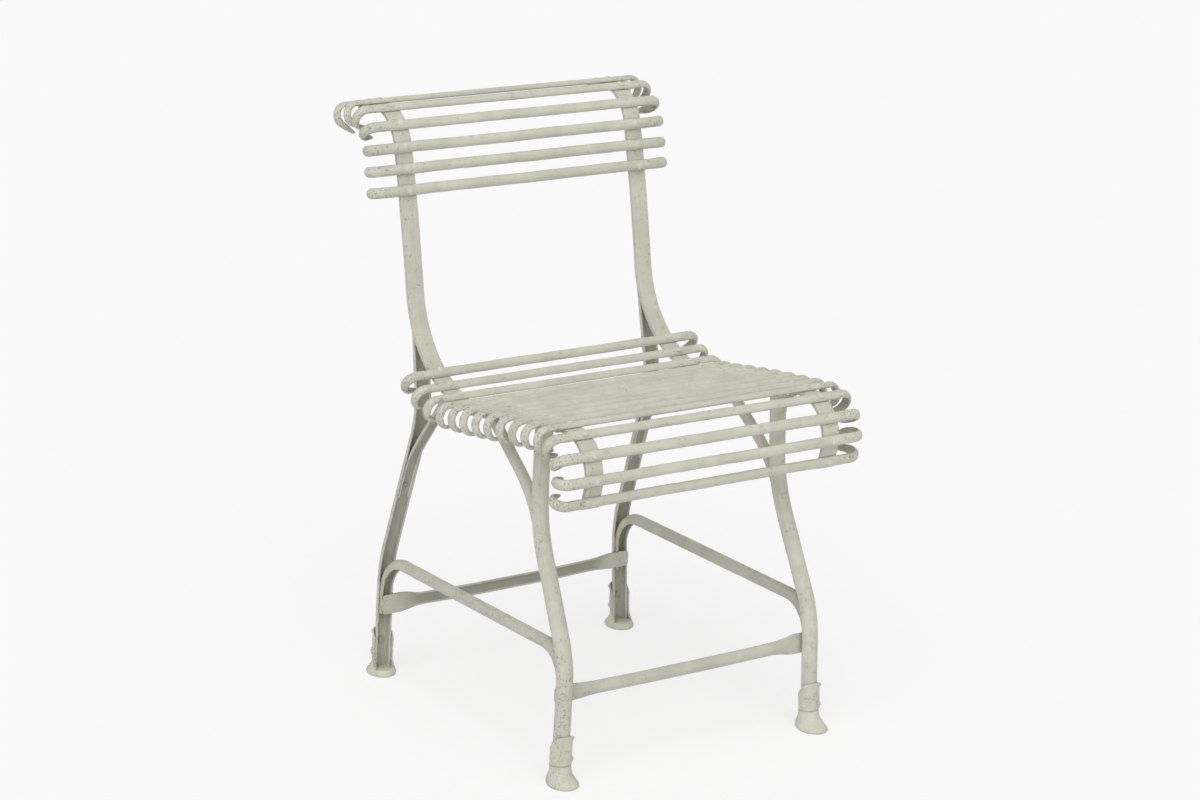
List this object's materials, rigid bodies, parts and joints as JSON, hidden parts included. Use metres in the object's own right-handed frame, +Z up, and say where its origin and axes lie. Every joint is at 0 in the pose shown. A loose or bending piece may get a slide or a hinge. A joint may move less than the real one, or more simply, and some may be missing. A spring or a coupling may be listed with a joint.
{
  "type": "garden chair",
  "caption": "Armless wrought iron garden chair: hooked half-round slats riveted to bent side straps, braced splayed legs, stretchers and cast hoof feet.",
  "frame": {"origin": "on the floor, under the middle of the chair's box", "axes": "+Z up, -Y the way the sitter faces, +X to the right for someone who stands in front and looks at the chair"},
  "size_m": [0.4478, 0.5569, 0.7546],
  "materials": {
    "strap_paint": "matt grey paint on flat wrought iron",
    "slat_paint": "matt grey paint on half-round wrought iron",
    "leg_paint": "matt grey paint on hollow half-round iron",
    "stretcher_paint": "matt grey paint on hollow bar",
    "hoof_paint": "matt grey paint on a sand casting",
    "rivet_paint": "matt grey paint over hammered heads"
  },
  "bodies": {
    "root": {"left_side_strap": "strap_paint", "right_side_strap": "strap_paint", "front_slat_1": "slat_paint", "front_slat_2": "slat_paint", "front_slat_3": "slat_paint", "front_slat_4": "slat_paint", "seat_slat_1": "slat_paint", "seat_slat_2": "slat_paint", "seat_slat_3": "slat_paint", "seat_slat_4": "slat_paint", "seat_slat_5": "slat_paint", "seat_slat_6": "slat_paint", "seat_slat_7": "slat_paint", "seat_slat_8": "slat_paint", "seat_slat_9": "slat_paint", "seat_slat_10": "slat_paint", "seat_slat_11": "slat_paint", "seat_slat_12": "slat_paint", "back_slat_1": "slat_paint", "back_slat_2": "slat_paint", "back_slat_3": "slat_paint", "back_slat_4": "slat_paint", "back_slat_5": "slat_paint", "back_slat_6": "slat_paint", "back_slat_7": "slat_paint", "front_left_leg": "leg_paint", "front_right_leg": "leg_paint", "rear_left_leg": "leg_paint", "rear_right_leg": "leg_paint", "front_left_brace": "leg_paint", "front_right_brace": "leg_paint", "rear_left_brace": "leg_paint", "rear_right_brace": "leg_paint", "left_side_stretcher": "stretcher_paint", "right_side_stretcher": "stretcher_paint", "front_stretcher": "stretcher_paint", "rear_stretcher": "stretcher_paint", "front_left_hoof": "hoof_paint", "front_right_hoof": "hoof_paint", "rear_left_hoof": "hoof_paint", "rear_right_hoof": "hoof_paint", "slat_rivets": "rivet_paint", "brace_rivets": "rivet_paint", "rear_leg_rivets": "rivet_paint", "stretcher_rivets": "rivet_paint", "hoof_rivets": "rivet_paint"}
  },
  "joints": []
}
